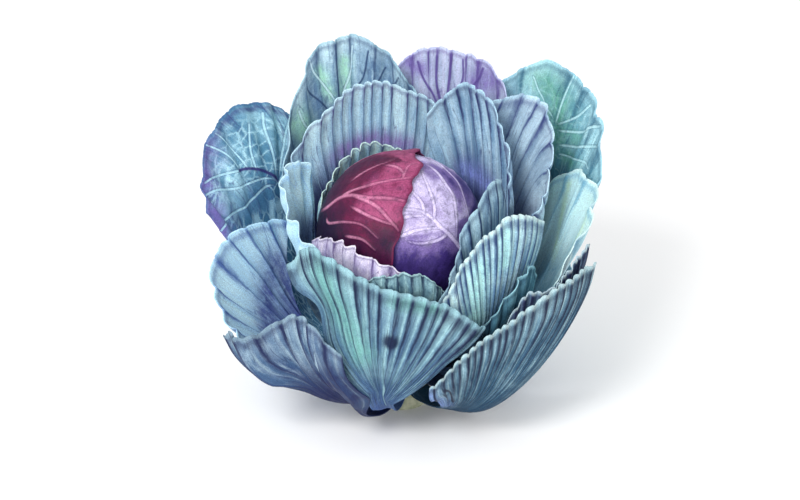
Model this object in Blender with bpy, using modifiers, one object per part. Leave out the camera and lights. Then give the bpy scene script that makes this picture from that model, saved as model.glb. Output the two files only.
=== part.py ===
"""A cabbage head in its open outer leaves, cut from its root: one object for each leaf, heart and stalk.

Metres, +Z up. The origin is the centre of the cut face under the stalk, and -Y is the front.
An azimuth is in degrees round the stalk: 0 is the front, 90 the right (+X), 180 the back, -90 the left.

The outer leaves lie in one space of nested bowls, so that they can be kept apart. A point of a leaf has
an azimuth, a level (0 is the bowl that hugs the head, 1 the widest open one) and a reach (0 at the stalk).
The leaves are laid from the inside out, and each is pushed to a level clear of those already laid.
"""

import math
from collections import namedtuple

import bmesh
import bpy
import numpy as np

# The head and its stalk
HEAD_HEIGHT = 0.165
HEART_RADIUS = 0.068
HEART_SEGMENTS = 28
HEART_RINGS = 14
STALK_RADIUS = 0.022
FOOT_RADIUS = 0.0245
FOOT_HEIGHT = 0.007
FOOT_BEVEL = 0.001
SHOULDER_DROP = 0.004
SCAR_RISE = 0.0006
SCAR_SPACING = 0.012
STALK_STEPS = 28
DISH_RADII = (0, 0.010, 0.020)
GAP = 0.0004

# The space of bowls that the outer leaves lie in
HUG_RADIUS = 0.0785
HUG_WIDEST_REACH = 0.62
ROOT_RADIUS = STALK_RADIUS + GAP
OPEN_BOWL = ((0.0252, 0.016), (0.095, -0.008), (0.150, 0.050), (0.178, 0.150))
OPEN_BOWL_SPEED = 1.1
MOST_REACH = 1.8
REACH_SAMPLES = 1801
LEVEL_RANGE = (-0.3, 1.3)
DIFFERENCE = 0.01

# Every outer leaf
STEM_HALF_WIDTH = 0.010
FAN_NECK = 0.5
LEVEL_POWER = 1.6
CURL_START = 0.7
BLADE_THICKNESS = 0.0011
RIB_THICKNESS = 0.0045
RIB_HALF_WIDTH = 0.22
ROOT_THINNING_POWER = 4
CLEARANCE = 0.0014
ROWS = 7
PLEAT_START = 0.15
SCALLOP = 0.024
SHARP_ANGLE = 50

# The table that keeps the leaves apart: bins of azimuth and reach, and the grid that a leaf's push is kept on
AZIMUTH_BINS = 120
REACH_BINS = 72
PUSH_CELLS = 40
PUSH_SMOOTHING = 3
LAID_CELLS = 160

# The leaves that close over the head
HEAD_BLADE = 0.0013
HEAD_VEIN_RISE = 0.00045
HEAD_ROWS = 11
HEAD_COLUMNS = 16
HEAD_BASE_ANGLE = 30
HEAD_BASE_HALF_TURN = 60
HEAD_EDGE_HALF_TURN = 128
HEAD_MIDDLE_HALF_TURN = 78
HEAD_MIDDLE_CLIMB = 20
HEAD_MIDDLE_DROP = 62
HEAD_EDGE_WAVES = ((7, 1.0), (17, 0.6))

SLATE = (0.20, 0.31, 0.42)
TEAL = (0.23, 0.38, 0.42)
GREEN = (0.30, 0.46, 0.42)
VIOLET = (0.30, 0.26, 0.46)
PALE_BLUE = (0.38, 0.54, 0.64)
LILAC = (0.52, 0.47, 0.60)
HEART_VIOLET = (0.10, 0.05, 0.17)
HEAD_VIOLET = (0.22, 0.15, 0.38)
HEAD_RED = (0.33, 0.05, 0.13)
STALK_PALE = (0.55, 0.60, 0.50)

# root: azimuth and height on the stalk. azimuths, radii, heights: of five points of the rim, evenly spaced
# over the leaf's width. neck: the share of its length that stays as narrow as its stem, and below 0 it starts
# out wide. A leaf with a long neck opens like a fan, with straight sides. curl: how far its rim turns out, in
# levels. pleats: folds of the blade, each this deep.
Leaf = namedtuple("Leaf", "name root azimuths radii heights neck curl pleats depth colour")

LEAVES = (
    Leaf("head_leaf_lilac", (-40, 0.085),
         (-80, -60, -40, -20, 1),
         (0.082, 0.084, 0.086, 0.087, 0.085), (0.166, 0.184, 0.194, 0.187, 0.175),
         -0.4, 0.05, 6, 0.0007, LILAC),
    Leaf("collar_leaf_front", (4, 0.082),
         (-28, -12, 2, 14, 25),
         (0.088, 0.090, 0.089, 0.087, 0.085), (0.158, 0.174, 0.179, 0.171, 0.152),
         -0.4, 0.02, 6, 0.0007, SLATE),
    Leaf("collar_leaf_back", (-156, 0.080),
         (-204, -182, -158, -136, -112),
         (0.082, 0.082, 0.082, 0.082, 0.082), (0.196, 0.206, 0.217, 0.206, 0.176),
         -0.4, 0.02, 7, 0.0008, TEAL),
    Leaf("leaf_right_inner", (58, 0.076),
         (19, 34, 52, 70, 98),
         (0.083, 0.081, 0.081, 0.086, 0.089), (0.158, 0.193, 0.220, 0.236, 0.190),
         -0.3, 0, 7, 0.0008, SLATE),
    Leaf("leaf_left_inner", (-86, 0.073),
         (-124, -112, -96, -74, -46),
         (0.100, 0.108, 0.110, 0.100, 0.091), (0.202, 0.213, 0.203, 0.184, 0.166),
         -0.4, 0.10, 6, 0.0008, PALE_BLUE),
    Leaf("leaf_back_right_inner", (134, 0.068),
         (98, 116, 136, 151, 167),
         (0.096, 0.099, 0.103, 0.104, 0.096), (0.205, 0.240, 0.265, 0.265, 0.236),
         -0.3, 0, 7, 0.0012, SLATE),
    Leaf("leaf_back_left_inner", (-160, 0.064),
         (-202, -183, -162, -140, -112),
         (0.099, 0.100, 0.101, 0.100, 0.098), (0.240, 0.256, 0.266, 0.250, 0.212),
         -0.3, 0, 9, 0.0012, SLATE),
    Leaf("leaf_right_upright", (110, 0.060),
         (80, 93, 110, 125, 142),
         (0.116, 0.128, 0.136, 0.129, 0.124), (0.196, 0.220, 0.259, 0.264, 0.243),
         0, 0, 7, 0.0012, SLATE),
    Leaf("leaf_right_fan", (50, 0.056),
         (21, 33, 46, 59, 75),
         (0.093, 0.093, 0.101, 0.112, 0.126), (0.152, 0.184, 0.204, 0.217, 0.196),
         0.3, 0, 7, 0.0012, SLATE),
    Leaf("leaf_right_middle", (56, 0.051),
         (40, 49, 57, 62, 66),
         (0.110, 0.120, 0.125, 0.126, 0.126), (0.124, 0.152, 0.167, 0.168, 0.150),
         0.2, 0, 5, 0.0008, TEAL),
    Leaf("leaf_right", (84, 0.045),
         (60, 76, 89, 101, 116),
         (0.150, 0.164, 0.167, 0.156, 0.142), (0.160, 0.195, 0.212, 0.212, 0.176),
         -0.1, 0.05, 6, 0.0008, TEAL),
    Leaf("leaf_back_left_tall", (-156, 0.050),
         (-190, -174, -158, -141, -116),
         (0.118, 0.138, 0.141, 0.138, 0.108), (0.232, 0.274, 0.294, 0.274, 0.210),
         -0.3, 0.05, 6, 0.0008, TEAL),
    Leaf("leaf_back_violet", (160, 0.046),
         (128, 147, 162, 174, 190),
         (0.130, 0.145, 0.145, 0.140, 0.128), (0.236, 0.268, 0.277, 0.275, 0.250),
         -0.3, 0, 7, 0.0010, VIOLET),
    Leaf("leaf_right_back_green", (117, 0.041),
         (94, 106, 117, 129, 145),
         (0.158, 0.181, 0.182, 0.163, 0.150), (0.206, 0.240, 0.265, 0.282, 0.250),
         0, 0.08, 6, 0.0006, GREEN),
    Leaf("leaf_front", (-12, 0.024),
         (-58, -45, -14, 17, 38),
         (0.117, 0.106, 0.098, 0.102, 0.112), (0.170, 0.194, 0.169, 0.155, 0.133),
         0.5, 0.04, 10, 0.0012, SLATE),
    Leaf("leaf_left_front", (-74, 0.044),
         (-104, -92, -81, -70, -58),
         (0.104, 0.137, 0.165, 0.168, 0.155), (0.168, 0.171, 0.155, 0.127, 0.101),
         -0.2, 0, 7, 0.0012, SLATE),
    Leaf("leaf_left_round", (-108, 0.040),
         (-143, -131, -118, -106, -95),
         (0.146, 0.160, 0.178, 0.183, 0.172), (0.206, 0.238, 0.239, 0.212, 0.178),
         0.2, 0.12, 6, 0.0006, TEAL),
    Leaf("leaf_left_low", (-27, 0.030),
         (-62, -55, -48, -39, -25),
         (0.156, 0.150, 0.138, 0.124, 0.112), (0.124, 0.129, 0.136, 0.140, 0.124),
         0.05, 0, 6, 0.0012, SLATE),
    Leaf("leaf_right_low_inner", (60, 0.030),
         (39, 47, 55, 63, 71),
         (0.112, 0.135, 0.147, 0.156, 0.160), (0.120, 0.152, 0.168, 0.182, 0.192),
         0.2, 0, 7, 0.0010, TEAL),
    Leaf("leaf_right_low", (38, 0.021),
         (12, 28, 41, 54, 68),
         (0.102, 0.117, 0.136, 0.164, 0.178), (0.087, 0.117, 0.144, 0.174, 0.175),
         0.3, 0, 10, 0.0013, SLATE),
    Leaf("leaf_back_left_low", (-138, 0.022),
         (-184, -162, -140, -118, -94),
         (0.140, 0.160, 0.168, 0.166, 0.150), (0.112, 0.140, 0.152, 0.146, 0.122),
         -0.2, 0.05, 8, 0.0010, TEAL),
    Leaf("leaf_right_back_low", (102, 0.021),
         (74, 88, 102, 118, 134),
         (0.136, 0.150, 0.155, 0.152, 0.138), (0.082, 0.108, 0.122, 0.118, 0.098),
         -0.2, 0.05, 6, 0.0010, TEAL),
    Leaf("leaf_back_right_low", (162, 0.019),
         (112, 136, 160, 184, 206),
         (0.142, 0.160, 0.166, 0.160, 0.140), (0.112, 0.138, 0.148, 0.138, 0.112),
         -0.2, 0.05, 8, 0.0010, TEAL),
)

# side: azimuth of the side that the leaf comes up. past_top: degrees that its free edge lies past the top of
# the head. lap: how far its edge reaches round at its low ends, as a sine. wave: how far it wanders, degrees.
HeadLeaf = namedtuple("HeadLeaf", "name side radius past_top lap wave colour")

HEAD_LEAVES = (
    HeadLeaf("head_leaf_violet", 80, 0.0705, 7, 0.12, 1.0, HEAD_VIOLET),
    HeadLeaf("head_leaf_red", -100, 0.0738, 9, 0.05, 3.0, HEAD_RED),
)


def clear_scene():
    for obj in list(bpy.data.objects):
        bpy.data.objects.remove(obj)


def material(name, colour, roughness=0.6):
    made = bpy.data.materials.get(name) or bpy.data.materials.new(name)
    made.use_nodes = True
    shader = made.node_tree.nodes["Principled BSDF"]
    shader.inputs["Base Color"].default_value = (*colour, 1)
    shader.inputs["Roughness"].default_value = roughness
    shader.inputs["Metallic"].default_value = 0
    return made


def hug_guide(reach):
    """Radius and height of the level 0 bowl: round the lower half of the head, then straight up."""
    start = math.asin(ROOT_RADIUS / HUG_RADIUS)
    speed = (math.pi / 2 - start) / HUG_WIDEST_REACH
    angle = start + speed * np.minimum(reach, HUG_WIDEST_REACH)
    straight = np.maximum(reach - HUG_WIDEST_REACH, 0) * speed * HUG_RADIUS
    return np.stack([HUG_RADIUS * np.sin(angle), HEAD_HEIGHT - HUG_RADIUS * np.cos(angle) + straight], -1)


def open_guide(reach):
    """Radius and height of the level 1 bowl: a Bezier arc to reach 1, then straight on."""
    a, b, c, d = (np.array(point) for point in OPEN_BOWL)
    t = np.minimum(reach, 1)[..., None]
    arc = a * (1 - t) ** 3 + 3 * b * t * (1 - t) ** 2 + 3 * c * t**2 * (1 - t) + d * t**3
    heading = (d - c) / np.linalg.norm(d - c)
    length = np.linalg.norm(d - a) * OPEN_BOWL_SPEED
    return arc + heading * length * np.maximum(reach - 1, 0)[..., None]


def bowl_point(level, reach):
    """Radius and height of a point of the leaf space."""
    inner = hug_guide(reach)
    return inner + (open_guide(reach) - inner) * np.asarray(level)[..., None]


def level_and_reach(radius, height):
    """The level and reach of a point given by its radius and height."""
    reach = np.linspace(0, MOST_REACH, REACH_SAMPLES)
    inner = hug_guide(reach)
    rung = open_guide(reach) - inner
    offset = np.array([radius, height]) - inner
    length = np.linalg.norm(rung, axis=1)
    level = (offset * rung).sum(1) / length**2
    miss = np.abs(offset[:, 0] * rung[:, 1] - offset[:, 1] * rung[:, 0]) / length
    miss = np.where((level > LEVEL_RANGE[0]) & (level < LEVEL_RANGE[1]), miss, np.inf)
    nearest = int(miss.argmin())
    return level[nearest], reach[nearest]


def metres_per_level(level, reach):
    """How far apart two bowls lie, square to the leaf, for each unit of level between them."""
    along = bowl_point(level, reach + DIFFERENCE) - bowl_point(level, np.maximum(reach - DIFFERENCE, 0))
    along = along / np.linalg.norm(along, axis=-1)[..., None]
    rung = open_guide(reach) - hug_guide(reach)
    return np.abs(rung[..., 0] * along[..., 1] - rung[..., 1] * along[..., 0])


def through(values, v):
    """A smooth curve through evenly spaced values, from v = -1 at the first to v = 1 at the last."""
    values = np.array(values)
    slopes = np.gradient(values)
    place = (v + 1) / 2 * (len(values) - 1)
    first = np.clip(place.astype(int), 0, len(values) - 2)
    t = place - first
    before, after = values[first], values[first + 1]
    return (
        before * (1 + 2 * t) * (1 - t) ** 2
        + after * (3 - 2 * t) * t**2
        + slopes[first] * t * (1 - t) ** 2
        - slopes[first + 1] * (1 - t) * t**2
    )


def smooth_step(x):
    x = np.clip(x, 0, 1)
    return x * x * (3 - 2 * x)


def leaf_coordinates(leaf, v, q):
    """Azimuth, level and reach over a leaf: v runs across it, -1 to 1, and q from root, 0, to rim, 1."""
    levels, reaches = zip(*(level_and_reach(*place) for place in zip(leaf.radii, leaf.heights)))
    rim_azimuth = through(leaf.azimuths, v)
    rim_level = through(levels, v) - leaf.curl
    rim_reach = through(reaches, v)
    root_azimuth, root_height = leaf.root
    highest, lowest = hug_guide(np.array(0.0))[1], OPEN_BOWL[0][1]
    root_level = (highest - root_height) / (highest - lowest)
    turned_out = np.clip((q - CURL_START) / (1 - CURL_START), 0, 1) ** 2
    level = root_level + (rim_level - root_level) * q**LEVEL_POWER + leaf.curl * turned_out
    reach = rim_reach * q
    past_neck = np.clip((q - leaf.neck) / (1 - leaf.neck), 0, 1)
    widening = past_neck if leaf.neck >= FAN_NECK else smooth_step(past_neck)
    stem = np.degrees(STEM_HALF_WIDTH / bowl_point(level, reach)[..., 0]) * v
    azimuth = root_azimuth + stem * (1 - widening) + (rim_azimuth - root_azimuth) * widening
    return azimuth, level, reach


def blade_thickness(v, q):
    """Full at the rib and the root, thin towards the rim and the sides."""
    rib = np.exp(-((v / RIB_HALF_WIDTH) ** 2))
    share = np.maximum(rib * (1 - q), (1 - q) ** ROOT_THINNING_POWER)
    return BLADE_THICKNESS + (RIB_THICKNESS - BLADE_THICKNESS) * share


def pleat_share(q):
    """The pleats start a little way up the leaf and deepen towards the rim."""
    return smooth_step((q - PLEAT_START) / (1 - PLEAT_START))


def widest_near(values, cells):
    """The greatest value within this many cells of each cell."""
    for axis in (0, 1):
        padded = np.pad(values, [(cells, cells) if a == axis else (0, 0) for a in (0, 1)], mode="edge")
        count = values.shape[axis]
        values = np.max([np.take(padded, range(i, i + count), axis) for i in range(2 * cells + 1)], axis=0)
    return values


def averaged(values, cells):
    for axis in (0, 1):
        padded = np.pad(values, [(cells, cells) if a == axis else (0, 0) for a in (0, 1)], mode="edge")
        count = values.shape[axis]
        values = np.mean([np.take(padded, range(i, i + count), axis) for i in range(2 * cells + 1)], axis=0)
    return values


def table_bins(azimuth, reach):
    columns = np.round((azimuth % 360) / 360 * AZIMUTH_BINS).astype(int) % AZIMUTH_BINS
    rows = np.clip(np.round(reach / MOST_REACH * REACH_BINS).astype(int), 0, REACH_BINS - 1)
    return columns, rows


def lay_leaf(leaf, taken):
    """The push that keeps a leaf clear of those laid before it, on a grid over it. Adds the leaf to taken."""
    v, q = np.meshgrid(np.linspace(-1, 1, PUSH_CELLS + 1), np.linspace(0, 1, PUSH_CELLS + 1), indexing="ij")
    azimuth, level, reach = leaf_coordinates(leaf, v, q)
    bins = table_bins(azimuth, reach)
    spacing = metres_per_level(level, reach)
    pleat = leaf.depth * pleat_share(q)
    needed = np.maximum(taken[bins] + (pleat + CLEARANCE) / spacing - level, 0)
    push = averaged(widest_near(needed, PUSH_SMOOTHING), PUSH_SMOOTHING)

    v, q = np.meshgrid(np.linspace(-1, 1, LAID_CELLS + 1), np.linspace(0, 1, LAID_CELLS + 1), indexing="ij")
    azimuth, level, reach = leaf_coordinates(leaf, v, q)
    level = level + push_at(push, v, q)
    outside = level + (blade_thickness(v, q) + leaf.depth * pleat_share(q)) / metres_per_level(level, reach)
    laid = np.zeros_like(taken)
    np.maximum.at(laid, table_bins(azimuth, reach), outside)
    wrapped = np.concatenate([laid[-2:], laid, laid[:2]])
    np.maximum(taken, widest_near(wrapped, 1)[2:-2], out=taken)
    return push


def push_at(push, v, q):
    """The push at any point of the leaf, between its grid's values."""
    x = np.clip((v + 1) / 2 * PUSH_CELLS, 0, PUSH_CELLS - 1e-6)
    y = np.clip(q * PUSH_CELLS, 0, PUSH_CELLS - 1e-6)
    i, j = x.astype(int), y.astype(int)
    x, y = x - i, y - j
    near = push[i, j] * (1 - y) + push[i, j + 1] * y
    return near * (1 - x) + (push[i + 1, j] * (1 - y) + push[i + 1, j + 1] * y) * x


def leaf_surface(leaf, push, v, q):
    """Points of the leaf's inner face, with no pleats."""
    azimuth, level, reach = leaf_coordinates(leaf, v, q)
    radius, height = np.moveaxis(bowl_point(level + push_at(push, v, q), reach), -1, 0)
    turn = np.radians(azimuth)
    return np.stack([radius * np.sin(turn), -radius * np.cos(turn), height], -1)


def outward_normals(surface, v, q):
    """Unit normals of a surface over v and q, by differences, pointing away from the stalk's axis or down."""
    across = surface(np.clip(v + DIFFERENCE, -1, 1), q) - surface(np.clip(v - DIFFERENCE, -1, 1), q)
    along = surface(v, np.clip(q + DIFFERENCE, 0, 1)) - surface(v, np.clip(q - DIFFERENCE, 0, 1))
    normals = np.cross(along, across)
    return normals / np.linalg.norm(normals, axis=-1)[..., None]


def sheet_object(name, columns, rows, place, thickness, colour):
    """A thin closed leaf: a grid placed by a function, split into triangles, then thickened outwards."""
    bm = bmesh.new()
    bmesh.ops.create_grid(bm, x_segments=columns, y_segments=rows, size=1)
    grid = np.array([vertex.co for vertex in bm.verts])
    v, q = grid[:, 0], (grid[:, 1] + 1) / 2
    for vertex, point in zip(bm.verts, place(v, q)):
        vertex.co = point
    bmesh.ops.triangulate(bm, faces=bm.faces, quad_method="FIXED")
    mesh = bpy.data.meshes.new(name)
    bm.to_mesh(mesh)
    bm.free()
    obj = bpy.data.objects.new(name, mesh)
    thickest = float(thickness(v, q).max())
    group = obj.vertex_groups.new(name="thickness")
    for index, share in enumerate(thickness(v, q) / thickest):
        group.add([index], float(share), "REPLACE")
    solidify = obj.modifiers.new("blade", "SOLIDIFY")
    solidify.thickness = thickest
    solidify.offset = 1
    solidify.vertex_group = group.name
    solidify.use_even_offset = False
    mesh.shade_smooth()
    mesh.set_sharp_from_angle(angle=math.radians(SHARP_ANGLE))
    mesh.materials.append(material(name, colour))
    return obj


def outer_leaf(leaf, push):
    """An outer leaf, pleated like a fan: each second column of its grid is a fold, which scallops the rim."""
    columns = 2 * leaf.pleats

    def smooth_surface(v, q):
        return leaf_surface(leaf, push, v, q)

    def place(v, q):
        column = np.round((v + 1) / 2 * columns).astype(int)
        valley = column % 2 == 0
        shortened = q * (1 - SCALLOP * (valley & np.isclose(q, 1)))
        fold = leaf.depth * pleat_share(q) * np.where(valley, -1, 1)
        return smooth_surface(v, shortened) + outward_normals(smooth_surface, v, q) * fold[:, None]

    return sheet_object(leaf.name, columns, ROWS, place, blade_thickness, leaf.colour)


def head_leaf(leaf):
    """A leaf closed over the head. It comes up one side and ends past the top, and its veins are ridges."""
    centre = np.array([0, 0, HEAD_HEIGHT])
    turn = math.radians(leaf.side)
    side = np.array([math.sin(turn), -math.cos(turn), 0])
    cross = np.array([math.cos(turn), math.sin(turn), 0])
    up = np.array([0, 0, 1])

    def unit(vectors):
        return vectors / np.linalg.norm(vectors, axis=-1)[..., None]

    def edge(v):
        """Directions of the free edge, from low on one side of the head over its top to low on the other."""
        turned = np.radians(HEAD_EDGE_HALF_TURN * v)[..., None]
        wander = sum(share * np.sin(waves * v + leaf.side) for waves, share in HEAD_EDGE_WAVES)
        past = np.radians(leaf.past_top + leaf.wave * wander)[..., None]
        over = np.cos(past) * up - np.sin(past) * side
        low_end = leaf.lap * np.sin(turned) ** 2
        return unit(np.sin(turned) * cross + np.cos(turned) * over - low_end * side)

    def base(v):
        turned = np.radians(HEAD_BASE_HALF_TURN * v)[..., None]
        below = math.radians(HEAD_BASE_ANGLE)
        return -math.cos(below) * up + math.sin(below) * (np.cos(turned) * side + np.sin(turned) * cross)

    def middle(v):
        """Directions that the leaf bulges towards between its base and its edge."""
        turned = np.radians(HEAD_MIDDLE_HALF_TURN * v)[..., None]
        climb = np.radians(HEAD_MIDDLE_CLIMB - HEAD_MIDDLE_DROP * v**2)[..., None]
        return np.sin(climb) * up + np.cos(climb) * (np.cos(turned) * side + np.sin(turned) * cross)

    def between(start, end, q):
        """Along the great circle from one direction to another."""
        angle = np.arccos((start * end).sum(-1))[..., None]
        q = q[..., None]
        return (np.sin((1 - q) * angle) * start + np.sin(q * angle) * end) / np.sin(angle)

    def direction(v, q):
        return between(between(base(v), middle(v), q), between(middle(v), edge(v), q), q)

    def place(v, q):
        column = np.round((v + 1) / 2 * HEAD_COLUMNS).astype(int)
        ridge = np.where(column % 2 == 0, HEAD_VEIN_RISE, 0) * np.sin(np.pi * q)
        return centre + direction(v, q) * (leaf.radius + ridge)[:, None]

    def thickness(v, q):
        return np.full_like(v, HEAD_BLADE)

    return sheet_object(leaf.name, HEAD_COLUMNS, HEAD_ROWS, place, thickness, leaf.colour)


def heart():
    """The dense ball of folded inner leaves."""
    bpy.ops.mesh.primitive_uv_sphere_add(
        segments=HEART_SEGMENTS, ring_count=HEART_RINGS, radius=HEART_RADIUS, location=(0, 0, HEAD_HEIGHT)
    )
    obj = bpy.context.object
    obj.name = "heart"
    obj.data.shade_smooth()
    obj.data.materials.append(material("heart", HEART_VIOLET, 0.45))
    return obj


def stalk():
    """A turned stalk: low rings where leaves were, a flat cut foot, and a top dished to take the heart."""
    top = [(radius, HEAD_HEIGHT - math.sqrt(HEART_RADIUS**2 - radius**2) - GAP) for radius in DISH_RADII]
    shoulder = top[-1][1] - SHOULDER_DROP
    rings = int((shoulder - FOOT_HEIGHT) / SCAR_SPACING * 2)
    spacing = (shoulder - FOOT_HEIGHT) / rings
    side = [(STALK_RADIUS - SCAR_RISE * (i % 2), shoulder - spacing * i) for i in range(rings)]
    foot = [(FOOT_RADIUS, FOOT_HEIGHT / 2), (FOOT_RADIUS, FOOT_BEVEL), (FOOT_RADIUS - FOOT_BEVEL, 0), (0, 0)]
    profile = top + side + foot
    points = [(radius, 0, height) for radius, height in profile]
    edges = [(i, i + 1) for i in range(len(profile) - 1)]
    mesh = bpy.data.meshes.new("stalk")
    mesh.from_pydata(points, edges, [])
    obj = bpy.data.objects.new("stalk", mesh)
    screw = obj.modifiers.new("turn", "SCREW")
    screw.steps = screw.render_steps = STALK_STEPS
    screw.use_merge_vertices = True
    screw.merge_threshold = 0.00005
    screw.use_smooth_shade = True
    mesh.materials.append(material("stalk", STALK_PALE, 0.55))
    return obj


def build():
    clear_scene()
    collection = bpy.data.collections.new("cabbage_head")
    bpy.context.scene.collection.children.link(collection)
    taken = np.zeros((AZIMUTH_BINS, REACH_BINS))
    objects = [stalk(), heart()]
    objects += [head_leaf(leaf) for leaf in HEAD_LEAVES]
    objects += [outer_leaf(leaf, lay_leaf(leaf, taken)) for leaf in LEAVES]
    for obj in objects:
        for other in list(obj.users_collection):
            other.objects.unlink(obj)
        collection.objects.link(obj)


build()
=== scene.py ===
"""The cabbage head dressed for its picture: each leaf with its pleats, veins, frills and colours.

Metres, +Z up, -Y is the front. Azimuths are in degrees round the stalk: 0 the front, 90 the right, -90 the left.
The outer leaves lie in a space of nested bowls: an azimuth, a level and a reach place a point, as in the solids.
"""

import math
from collections import namedtuple
from functools import reduce

import bpy
import numpy as np
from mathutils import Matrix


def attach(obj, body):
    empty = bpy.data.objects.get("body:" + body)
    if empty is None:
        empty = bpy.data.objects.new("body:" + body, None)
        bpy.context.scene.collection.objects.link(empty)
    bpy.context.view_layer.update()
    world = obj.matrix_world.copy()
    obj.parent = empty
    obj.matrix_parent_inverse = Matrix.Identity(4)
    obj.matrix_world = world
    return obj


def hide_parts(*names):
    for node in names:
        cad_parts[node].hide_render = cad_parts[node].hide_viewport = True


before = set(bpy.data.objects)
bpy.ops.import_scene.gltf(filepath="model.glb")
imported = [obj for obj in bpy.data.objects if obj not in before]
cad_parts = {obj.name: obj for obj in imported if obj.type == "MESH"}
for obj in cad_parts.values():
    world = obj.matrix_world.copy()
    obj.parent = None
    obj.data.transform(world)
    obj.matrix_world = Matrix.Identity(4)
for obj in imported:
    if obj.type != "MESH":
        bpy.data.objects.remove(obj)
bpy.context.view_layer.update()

# The head and its stalk
HEAD_HEIGHT = 0.165
HEART_RADIUS = 0.068
STALK_RADIUS = 0.022
GAP = 0.0004

# The space of bowls that the outer leaves lie in
HUG_RADIUS = 0.0785
HUG_WIDEST_REACH = 0.62
ROOT_RADIUS = STALK_RADIUS + GAP
OPEN_BOWL = ((0.0252, 0.016), (0.095, -0.008), (0.150, 0.050), (0.178, 0.150))
OPEN_BOWL_SPEED = 1.1
MOST_REACH = 1.8
REACH_SAMPLES = 1801
LEVEL_RANGE = (-0.3, 1.3)
DIFFERENCE = 0.01

# Every outer leaf
STEM_HALF_WIDTH = 0.010
FAN_NECK = 0.5
LEVEL_POWER = 1.6
CURL_START = 0.7
BLADE_THICKNESS = 0.0011
RIB_THICKNESS = 0.0045
RIB_HALF_WIDTH = 0.22
ROOT_THINNING_POWER = 4
CLEARANCE = 0.0014
PLEAT_START = 0.15

# The table that keeps the leaves apart: bins of azimuth and reach, and the grid that a leaf's push is kept on
AZIMUTH_BINS = 120
REACH_BINS = 72
PUSH_CELLS = 40
PUSH_SMOOTHING = 3
LAID_CELLS = 160

# The leaves that close over the head
HEAD_BASE_ANGLE = 30
HEAD_BASE_HALF_TURN = 60
HEAD_EDGE_HALF_TURN = 128
HEAD_MIDDLE_HALF_TURN = 78
HEAD_MIDDLE_CLIMB = 20
HEAD_MIDDLE_DROP = 62
HEAD_EDGE_WAVES = ((7, 1.0), (17, 0.6))

# Fineness of the shown leaves, with the share of an outer leaf's rows that lie below what is seen of it
COLUMNS = 190
LEAF_ROWS = 120
ROWS_BELOW_BASE = 0.25
HEAD_COLUMNS = 260
HEAD_ROWS = 185
CROWD_TO_FRONT = 0.45

# The shown blades: their thickness, and how deep their rims are cut, as shares of their length
SHOWN_BLADE = 0.0009
UNCUT_LENGTH = 1.015
UNEVEN_RIM = 0.014
NICKS = 0.004
LOBE_SHARPNESS = 0.35
UNEVEN_PLEATS = 0.32
PLEAT_ROUNDNESS = 0.7

# Frills of the rim: where they start, and at the leaf's sides how far out, how far up and how strong
ROLL_START = 0.86
RUFFLE_START = 0.62
SIDE_RUFFLE_OUT = (0.75, 1)
SIDE_RUFFLE_UP = (0.3, 0.7)
SIDE_RUFFLE_SHARE = 0.8

# The free edge of a leaf on the head: its tears, and how it lifts off the head
TORN_EDGE_WAVES = ((31, 0.5), (67, 0.2))
EDGE_LIFT = 0.0012
EDGE_LIFT_START = 0.93
EDGE_LIFT_WAVES = 23

# Veins, and the painted highlight just above them on the head. Behind this y the head has the same veins as in
# front.
VEIN_RISE = 0.0009
LEAF_VEIN_RISE = 0.0006
VEIN_TAPER = (1.2, 0.8)
FADE_IN = (0.3, 5.0)
STROKE_FADE = 2.2
STEPS_PER_WIDTH = 2.5
VEIN_HIGHLIGHT_SPREAD = 3.5
ABOVE_VEIN = 0.04
BEHIND = 0.30

# The paint of all the leaves
PALEST = 0.66
PAINT_GAMMA = 1.22
PAINT_SATURATION = 1.02
PAINT_VALUE = 1.50
SHINE = 0.22
GRAIN_SCALE = 1500.0

# The studio and the camera, with its aim this far above the middle of the picture
FLOOR_SIZE = 12
WORLD_LIGHT = 0.95
LAMPS = (("key", (-1.1, -1.8, 2.3), 1.0, 54), ("fill", (1.8, -1.6, 1.6), 2.0, 8))
LIT_POINT = (0, 0, 0.15)
AIM = (-0.0022, 0, 0.165)
AIM_ABOVE_MIDDLE = 0.0121
CAMERA_ELEVATION = 30
CAMERA_DISTANCE = 2.2
CAMERA_LENS = 114.2

# Where a leaf is longer than its solid: the place across, how far to each side, and how much of its length
Longer = namedtuple("Longer", "place spread share")
LONGER_AT = {"leaf_left_low": Longer(-0.65, 0.35, 0.05)}

# Where a leaf's side draws in below its rim, or below 0 bulges out: the side, how far, and the place and spread
# along the leaf
Waist = namedtuple("Waist", "side share place spread")
WAISTS = {"leaf_front": Waist(-1, 0.36, 0.82, 0.085), "leaf_left_low": Waist(1, -0.40, 0.68, 0.14)}

# root: azimuth and height on the stalk. azimuths, radii, heights: of five points of the rim, evenly spaced
# over the leaf's width. neck: the share of its length that stays as narrow as its stem, and below 0 it starts
# out wide. A leaf with a long neck opens like a fan, with straight sides. curl: how far its rim turns out, in
# levels. pleats: folds of the blade, each this deep.
Leaf = namedtuple("Leaf", "name root azimuths radii heights neck curl pleats depth")

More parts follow.
